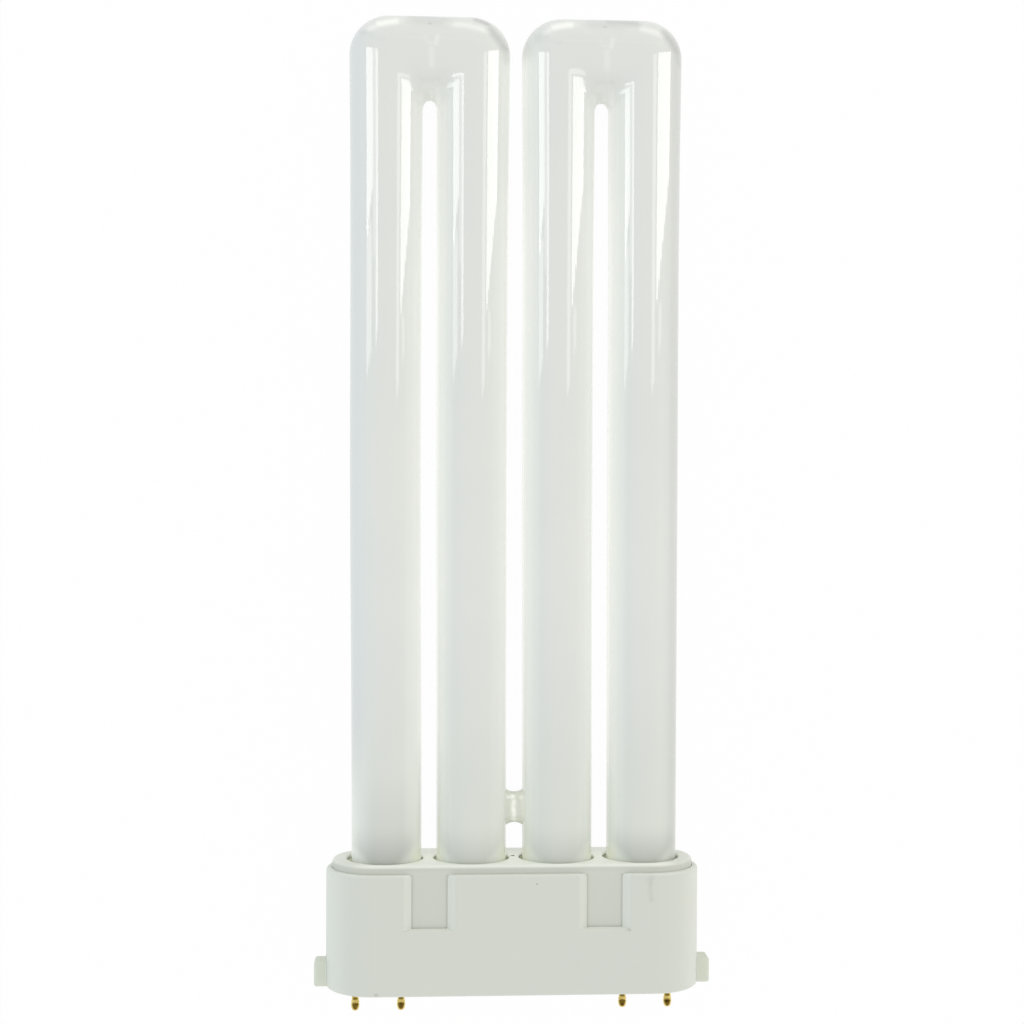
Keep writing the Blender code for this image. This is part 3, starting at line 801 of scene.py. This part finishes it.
def carved(bm, joined, cutters):
    # Joins closed forms to a piece and cuts others out of it
    piece = addObject("helper", meshOf("helper", bm))
    helpers = [piece]
    for operation, forms in (("UNION", joined), ("DIFFERENCE", cutters)):
        for form in forms:
            helpers.append(addObject("helper", meshOf("helper", form)))
            modifier = piece.modifiers.new("carve", "BOOLEAN")
            modifier.operation = operation
            modifier.solver = "EXACT"
            modifier.object = helpers[-1]
    graph = bpy.context.evaluated_depsgraph_get()
    result = bmesh.new()
    result.from_mesh(piece.evaluated_get(graph).to_mesh())
    for item in helpers:
        mesh = item.data
        bpy.data.objects.remove(item)
        bpy.data.meshes.remove(mesh)
    return result


def addForm(bm, loops, ring=False):
    # Skins loops of points that have the same count, and closes the form at its ends or in a ring
    rings = [[bm.verts.new(point) for point in loop] for loop in loops]
    count = len(rings[0])
    for low, high in zip(rings, rings[1:] + rings[:1] if ring else rings[1:]):
        for k in range(count):
            after = (k + 1) % count
            bm.faces.new((low[k], low[after], high[after], high[k]))
    if not ring:
        bm.faces.new(rings[0])
        bm.faces.new(rings[-1])


def closedForm(loops, ring=False):
    bm = bmesh.new()
    addForm(bm, loops, ring)
    bmesh.ops.recalc_face_normals(bm, faces=bm.faces)
    return bm


def circleLoop(placeX, radius, height, sides):
    turns = [2 * math.pi * k / sides for k in range(sides)]
    return [(placeX + radius * math.cos(a), radius * math.sin(a), height) for a in turns]


def turnedForm(profile, sides, placeX):
    # A turned form about an upright axis at placeX, from its profile's radii and heights
    return closedForm([circleLoop(placeX, radius, height, sides) for radius, height in profile])


def mixed(start, end, share):
    return start + (end - start) * share


def quarterTurn(steps):
    return [math.pi / 2 * k / steps for k in range(steps + 1)]


# Glass vessel

glassShape = {
    "sides": 128,
    "bendSteps": 28,
    "topSteps": 16,
    "blend": 0.0030,  # softness of the crease where a leg turns into its bend
    "crotchDrop": 0.0022,
    "crotchRise": 0.0023,
    "crotchMeet": 0.46,
    "footShoulder": 0.0170,
    "footSteps": 8,
    "legSteps": 24,
    "lean": [0.00054, 0.00026, 0.00029, 0.00010],  # towards the right at the cap, one for each leg
    "leanTop": 0.125,  # where the lean starts
    "footSlim": 0.00013,  # how much thinner the legs get towards the cap
    "slim": 0.00014,  # how much thinner they are below the bends
    "slimStart": 0.190,
    "slimEnd": 0.150,
    "bulge": 0.00024,  # how far the bends stand out at their sides
}


def bendPoint(inward, turn):
    # From the leg's axis towards its partner, and up from the bend's axis
    blend = glassShape["blend"]
    if inward < 0:
        across = along = math.hypot(inward, blend)
        corner = -inward
    else:
        share = (inward / tubeRadius) ** 2
        across = mixed(blend, glassShape["crotchMeet"] * tubeGap, share)
        along = mixed(blend, glassShape["crotchRise"], share)
        corner = -inward * (1 + glassShape["crotchDrop"] / tubeRadius)
    return inward + across * (1 - math.cos(turn)), corner - along * (1 - math.sin(turn))


def eased(value, start, end):
    share = min(max((value - start) / (end - start), 0), 1)
    return share * share * (3 - 2 * share)


def leaning(height, legX):
    # Sideways shift and loss of radius of a leg at this height
    shape = glassShape
    ease = eased(height, shape["leanTop"], holderHigh.z)
    number = min(range(4), key=lambda k: abs(legPlaces[k] - legX))
    slim = shape["slim"] * eased(height, shape["slimStart"], shape["slimEnd"]) + shape["footSlim"] * ease
    return shape["lean"][number] * ease, slim


def legRings(legX, side):
    # A leg from its foot up, and half of its bend
    shape = glassShape
    circle = []
    for k in range(shape["sides"]):
        angle = 2 * math.pi * k / shape["sides"]
        circle.append((math.sin(angle) * tubeRadius, -math.cos(angle) * tubeRadius))
    levels = []
    for turn in quarterTurn(shape["footSteps"])[1:]:
        levels.append((mixed(shape["footShoulder"], glassLow.z, math.cos(turn)), math.sin(turn)))
    for k in range(1, shape["legSteps"]):
        levels.append((mixed(shape["footShoulder"], bendAxis - 2 * tubeRadius, k / shape["legSteps"]), 1))
    rings = []
    for height, swell in levels:
        shift, slim = leaning(height, legX)
        size = swell * (1 - slim / tubeRadius)
        rings.append([(legX + shift - side * x * size, y * size, height) for x, y in circle])
    for turn in quarterTurn(shape["bendSteps"]):
        ring = []
        for x, y in circle:
            reach, rise = bendPoint(x, turn)
            reach += min(x, 0) / tubeRadius * shape["bulge"] * math.cos(turn)
            ring.append((legX - side * reach, y, bendAxis + rise))
        rings.append(ring)
    return rings


def glassVessel():
    bm = bmesh.new()
    for middle in (-legPitch, legPitch):
        left = legRings(middle - legPitch / 2, -1)
        right = legRings(middle + legPitch / 2, 1)
        between = []
        for k in range(1, glassShape["topSteps"]):
            share = k / glassShape["topSteps"]
            between.append([
                tuple(mixed(a, b, share) for a, b in zip(one, other))
                for one, other in zip(left[-1], right[-1])
            ])
        addForm(bm, left + between + right[::-1])
    finishPiece("glassVessel", bm, phosphorGlass, ["discharge_tube"])


bridgeShape = {
    "height": 0.0387,
    "waist": 0.0034,
    "end": 0.0043,
    "depth": 0.62,  # the neck's depth as a share of its height
    "flare": 2.5,  # how late the neck widens towards the legs
    "sink": 0.0003,  # how far its ends reach into the legs
    "steps": 24,
    "sides": 48,
    "wall": 0.0007,
}


def glassBridge():
    # A short hollow neck whose ends follow the round of the two inner legs
    shape = bridgeShape
    (leftLean, leftSlim), (rightLean, rightSlim) = [leaning(shape["height"], legPlaces[k]) for k in (1, 2)]
    middle = (leftLean + rightLean + rightSlim - leftSlim) / 2
    halfGap = (tubeGap + leftSlim + rightSlim + rightLean - leftLean) / 2
    loops = []
    for wall in (0.0, shape["wall"]):
        part = []
        for k in range(-shape["steps"], shape["steps"] + 1):
            along = k / shape["steps"]
            radius = mixed(shape["waist"], shape["end"], abs(along) ** shape["flare"]) - wall
            ring = []
            for j in range(shape["sides"]):
                angle = 2 * math.pi * j / shape["sides"]
                y, z = radius * math.cos(angle) * shape["depth"], radius * math.sin(angle)
                legFace = tubeRadius - math.sqrt(tubeRadius**2 - y**2)
                x = along * (halfGap + legFace * abs(along) ** 2 + shape["sink"])
                ring.append((middle + x, y, shape["height"] + z))
            part.append(ring)
        loops += part if wall == 0.0 else part[::-1]
    finishPiece("glassBridge", closedForm(loops, ring=True), bareGlass)


glassVessel()
glassBridge()
print("glass made")


# Cap


def stadiumLoop(halfDepth, height):
    steps = capShape["endSteps"]
    points = []
    for side in (1, -1):
        for k in range(steps + 1):
            angle = math.pi * (k / steps - 0.5)
            x = side * (endCentre + halfDepth * math.cos(angle))
            points.append((x, side * halfDepth * math.sin(angle), height))
    return points


def roundLoops(halfDepth, height, size, start, end):
    # Loops of a quarter round, from one angle to another; its centre lies inside the form
    steps = capShape["roundSteps"]
    loops = []
    for k in range(steps + 1):
        angle = math.radians(mixed(start, end, k / steps))
        loops.append(stadiumLoop(halfDepth + size * math.cos(angle), height + size * math.sin(angle)))
    return loops


def notchForm(centreX, face):
    # A window whose edges lean back from the tube holder to the shell's face
    shape = capShape
    flare = shape["notchFlare"]
    start = shellHalfDepth - shape["wall"] + shape["notchSquare"]
    sections = [(start - shape["notchPast"], 0.0)]
    for k in range(shape["notchSteps"] + 1):
        share = k / shape["notchSteps"]
        opened = shape["notchOpen"] * ((1 - flare) * share + flare * share**6)
        sections.append((mixed(start, shellHalfDepth, share), opened))
    sections.append((shellHalfDepth + shape["notchPast"], shape["notchOpen"] * shape["notchOuter"]))
    loops = []
    for depth, opened in sections:
        half = shape["notchWidth"] / 2 + opened
        corner = shape["notchCorner"]
        foot = shape["notchFloor"] - opened * shape["floorOpen"]
        outline = [(-half, foot), (half, foot)]
        side = []
        for turn in quarterTurn(shape["notchSteps"]):
            side.append((half + corner * (1 - math.cos(turn)), shellTop - corner * (1 - math.sin(turn))))
        side.append((half + corner, shellTop + shape["past"]))
        outline += side + [(-x, z) for x, z in reversed(side)]
        loops.append([(centreX + x, face * depth, z) for x, z in outline])
    return closedForm(loops)


def lugForm(side):
    shape = capShape
    ends = sorted((side * (shellHalfWidth - shape["wall"] / 2), side * shellHigh.x))
    low = Vector((ends[0], -shape["lugWidth"] / 2, shape["lugLow"]))
    high = Vector((ends[1], shape["lugWidth"] / 2, shape["lugHigh"]))
    bm = bmesh.new()
    bmesh.ops.create_cube(bm, size=1)
    for vertex in bm.verts:
        vertex.co = Vector([mixed(low[k], high[k], vertex.co[k] + 0.5) for k in range(3)])
    edge = {"offset": shape["lugRound"], "segments": shape["lugSteps"], "profile": 0.5}
    bmesh.ops.bevel(bm, geom=bm.edges[:], affect="EDGES", **edge)
    return bm


def capShell():
    shape = capShape
    half, top, wall = shellHalfDepth, shellTop, shape["wall"]
    rim, inner, foot = shape["rimRound"], shape["innerRound"], shape["floorRound"]
    loops = roundLoops(half - foot, foot, foot, -90, 0)
    loops += roundLoops(half - rim, top - rim, rim, 0, 90)
    loops += roundLoops(half - wall + inner, top - inner, inner, 90, 180)
    loops.append(stadiumLoop(half - wall, shape["floor"]))
    hole = [(pinShape["hole"], height) for height in (-shape["past"], pinShape["holeTop"])]
    cutters = [turnedForm(hole, pinShape["holeSides"], x) for x in pinPlaces]
    for side in (-1, 1):
        cutters += [notchForm(side * legPitch + shape["notchShift"], face) for face in (-1, 1)]
    bm = carved(closedForm(loops), [lugForm(-1), lugForm(1)], cutters)
    finishPiece("capShell", bm, capPlastic, ["base_shell"], smooth=32, even=True)


def socketForm(legX):
    shape = holderShape
    socket, mouth, top = shape["socket"], shape["mouth"], holderHigh.z
    lip = top - shape["lip"]
    profile = [(shape["wide"], holderLow.z - capShape["past"]), (shape["wide"], lip), (socket, lip)]
    for turn in quarterTurn(shape["mouthSteps"]):
        profile.append((socket + mouth * (1 - math.cos(turn)), top - mouth * (1 - math.sin(turn))))
    profile.append((socket + mouth, top + capShape["past"]))
    return turnedForm(profile, shape["sides"], legX)


def tubeHolder():
    shape = holderShape
    half = shellHalfDepth - capShape["wall"] - capShape["seat"]
    loops = [stadiumLoop(half, holderLow.z)]
    loops += roundLoops(half - shape["round"], holderHigh.z - shape["round"], shape["round"], 0, 90)
    cutters = [socketForm(x) for x in socketPlaces]
    ends = (holderLow.z - capShape["past"], holderHigh.z + capShape["past"])
    cutters.append(turnedForm([(shape["vent"], z) for z in ends], shape["ventSides"], 0))
    bm = carved(closedForm(loops), [], cutters)
    finishPiece("tubeHolder", bm, holderPlastic, ["tube_holder"], smooth=32, even=True)


cementShape = {
    "inner": 0.00004,  # gap to the leg
    "play": 0.00003,  # gap to the socket's upper part
    "lip": 0.00005,  # gap below the socket's lip
    "outer": 0.00045,  # how much wider the ring is below that lip
    "low": 0.0170,
    "high": 0.0008,  # from the holder's top down to the cement
    "rise": 0.8,  # share of that at the leg, where it creeps up a little
}


def cementRing(number):
    # Fills the socket to just below its mouth, around a leg that may stand off the socket's centre
    shape = cementShape
    top = holderHigh.z
    step = top - holderShape["lip"] - shape["lip"]
    legX, socketX = legPlaces[number - 1], socketPlaces[number - 1]
    lean, slim = leaning(top, legX)
    legX += lean
    inside = tubeRadius - slim + shape["inner"]
    wide = holderShape["socket"] + shape["outer"]
    narrow = holderShape["socket"] - shape["play"]
    rings = [(legX, inside, shape["low"]), (socketX, wide, shape["low"]), (socketX, wide, step)]
    rings += [(socketX, narrow, step), (socketX, narrow, top - shape["high"])]
    rings += [(legX, inside, top - shape["high"] * shape["rise"])]
    bm = closedForm([circleLoop(*ring, holderShape["sides"]) for ring in rings], ring=True)
    finishPiece(f"cementRing{number}", bm, cementPaste, [f"tube_cement_{number}"])


# Pins; the outline gives radius and height above the pin face, from the tip up
pinShape = {
    "sides": 48,
    "hole": 0.00098,  # radius of the cap's holes
    "holeTop": 0.003,
    "holeSides": 40,
    "shank": 0.00093,
    "collar": (0.00330, 0.00390),  # its lower and upper face
    "bore": 0.00055,
    "boreDepth": 0.0030,
    "outline": [
        (0.00001, -0.00575), (0.00030, -0.00572), (0.00052, -0.00562), (0.00068, -0.00542),
        (0.00080, -0.00514), (0.00088, -0.00482), (0.00092, -0.00450), (0.00091, -0.00428),
        (0.00086, -0.00414), (0.00080, -0.00408), (0.00079, -0.00403), (0.00085, -0.00397),
        (0.00089, -0.00385), (0.00088, -0.00372), (0.00083, -0.00358), (0.00077, -0.00345),
        (0.00075, -0.00300), (0.00075, -0.00285), (0.00079, -0.00268), (0.00086, -0.00258),
        (0.00093, -0.00252),
    ],
}
pinBoxes = [lampBox(f"contact_pin_{k}") for k in range(1, 5)]
pinPlaces = [(low.x + high.x) / 2 for low, high in pinBoxes]


def contactPin(number):
    # A turned pin with its collar and hollow head inside the cap
    shape = pinShape
    low, high = pinBoxes[number - 1]
    collar, shank, bore = (high.x - low.x) / 2, shape["shank"], shape["bore"]
    under, over = shape["collar"]
    floor = high.z - shape["boreDepth"]
    outline = shape["outline"] + [(shank, under), (collar, under), (collar, over), (shank, over)]
    outline += [(shank, high.z), (bore, high.z), (bore, floor), (outline[0][0], floor)]
    bm = turnedForm(outline, shape["sides"], pinPlaces[number - 1])
    finishPiece(f"contactPin{number}", bm, giltBrass, [f"contact_pin_{number}"], smooth=40)


capShell()
tubeHolder()
for number in range(1, 5):
    cementRing(number)
    contactPin(number)
print("cap and pins made")

# Hidden wires keep the frame's shape
for nodeName, node in frame["nodes"].items():
    if nodeName.startswith("lead_wire"):
        node.data.materials.clear()
        node.data.materials.append(nickelWire)


# Table and light

tableLook = {
    "reach": 2.0,
    "colour": (0.86, 0.86, 0.86, 1),
    "roughness": 0.7,
    "specular": 0.2,
    "glow": 0.98,  # as seen by the camera and in reflections
}


def mixShaders(output, share, first, second):
    mixer = combined("ShaderNodeMixShader", (share, first.outputs[0], second.outputs[0]))
    setInputs(output, Surface=mixer[0])


def whiteTable():
    # Shows white to the camera and in reflections, and keeps part of the lamp's shadow
    material, shader = newMaterial("whiteTable")
    tree = shader.id_data
    setInputs(shader, Base_Color=tableLook["colour"], Roughness=tableLook["roughness"])
    setInputs(shader, Specular_IOR_Level=tableLook["specular"])
    rays = addNode(tree, "ShaderNodeLightPath").outputs
    seen = mathNode("MAXIMUM", rays["Is Camera Ray"], rays["Is Glossy Ray"])
    seen = mathNode("MAXIMUM", seen, rays["Is Transmission Ray"])
    share = product(seen, tableLook["glow"])
    glow = addNode(tree, "ShaderNodeEmission")
    mixShaders(tree.nodes["Material Output"], share, shader, glow)
    bm = bmesh.new()
    reach = tableLook["reach"]
    bm.faces.new([bm.verts.new((x * reach, y * reach, 0)) for x, y in ((-1, -1), (1, -1), (1, 1), (-1, 1))])
    mesh = meshOf("whiteTable", bm)
    mesh.materials.append(material)
    addObject("whiteTable", mesh)


skyLook = {
    "zenith": 0.86,
    "horizon": 1.30,
    "left": (0.82, 0.91, 1.0, 1),
    "right": (1.0, 0.995, 0.98, 1),
    "change": (-0.95, -0.45),  # where left turns to right, from -1 on the left to 1 on the right
}


def whiteSky():
    # An even white tent: cooler on the lamp's left, and a little brighter low down than overhead
    world = bpy.data.worlds.new("whiteTent")
    world.use_nodes = True
    tree = world.node_tree
    trees.append(tree)
    tree.nodes.clear()
    x, y, z = split(addNode(tree, "ShaderNodeTexCoord").outputs["Generated"])
    strength = ramp(z, 0.0, 1.0, skyLook["horizon"], skyLook["zenith"])
    colour = mixColours(ramp(x, *skyLook["change"]), skyLook["left"], skyLook["right"])
    lit = addNode(tree, "ShaderNodeBackground")
    setInputs(lit, Color=colour, Strength=strength)
    seen = addNode(tree, "ShaderNodeBackground")
    setInputs(seen, Color=(1, 1, 1, 1))
    rays = addNode(tree, "ShaderNodeLightPath").outputs
    mixShaders(addNode(tree, "ShaderNodeOutputWorld"), rays["Is Camera Ray"], lit, seen)
    bpy.context.scene.world = world


# Strip lights: bearings of the edges, in degrees from the lamp's front to its right; lower ends there;
# upper end; strips side by side; distance; radiance
stripLights = {
    "leftMain": ((-66.7, -47.3), (0.184, 0.202), 0.262, 4, 0.20, 5.2),
    "leftLow": ((-66.7, -51.0), (0.142, 0.152), 0.190, 3, 0.20, 2.7),
    "leftFill": ((-47.3, -38.7), (0.180, 0.180), 0.262, 1, 0.20, 1.7),
    "leftThin": ((-38.7, -32.2), (0.153, 0.159), 0.262, 2, 0.20, 4.5),
    "rightThin": ((27.0, 37.0), (0.138, 0.143), 0.262, 2, 0.20, 2.4),
    "rightMain": ((41.2, 80.0), (0.164, 0.203), 0.262, 7, 0.19, 5.6),
    "rightLow": ((48.0, 58.0), (0.150, 0.154), 0.166, 2, 0.19, 1.8),
}


def stripLight(name, bearings, lows, high, steps, distance, radiance):
    span = (bearings[1] - bearings[0]) / steps
    width = 2 * distance * math.tan(math.radians(span / 2))
    for k in range(steps):
        bearing = math.radians(bearings[0] + span * (k + 0.5))
        outward = Vector((math.sin(bearing), -math.cos(bearing), 0))
        low = mixed(*lows, (k + 0.5) / steps)
        length = high - low
        data = bpy.data.lights.new(name, "AREA")
        data.shape = "RECTANGLE"
        data.size = width
        data.size_y = length
        data.energy = radiance * math.pi * width * length
        strip = addObject(name, data)
        place = outward * distance + Vector((0, 0, low + length / 2))
        side = Vector((0, 0, 1)).cross(outward)
        turn = Matrix((side, Vector((0, 0, 1)), outward)).transposed().to_4x4()
        strip.matrix_world = lampFrame @ Matrix.Translation(place) @ turn
        strip.visible_diffuse = False
        strip.visible_camera = False


whiteTable()
whiteSky()
for name, settings in stripLights.items():
    stripLight(name, *settings)
for tree in trees:
    layOut(tree)
bpy.context.scene.view_settings.view_transform = "Standard"
print("table and lights made")
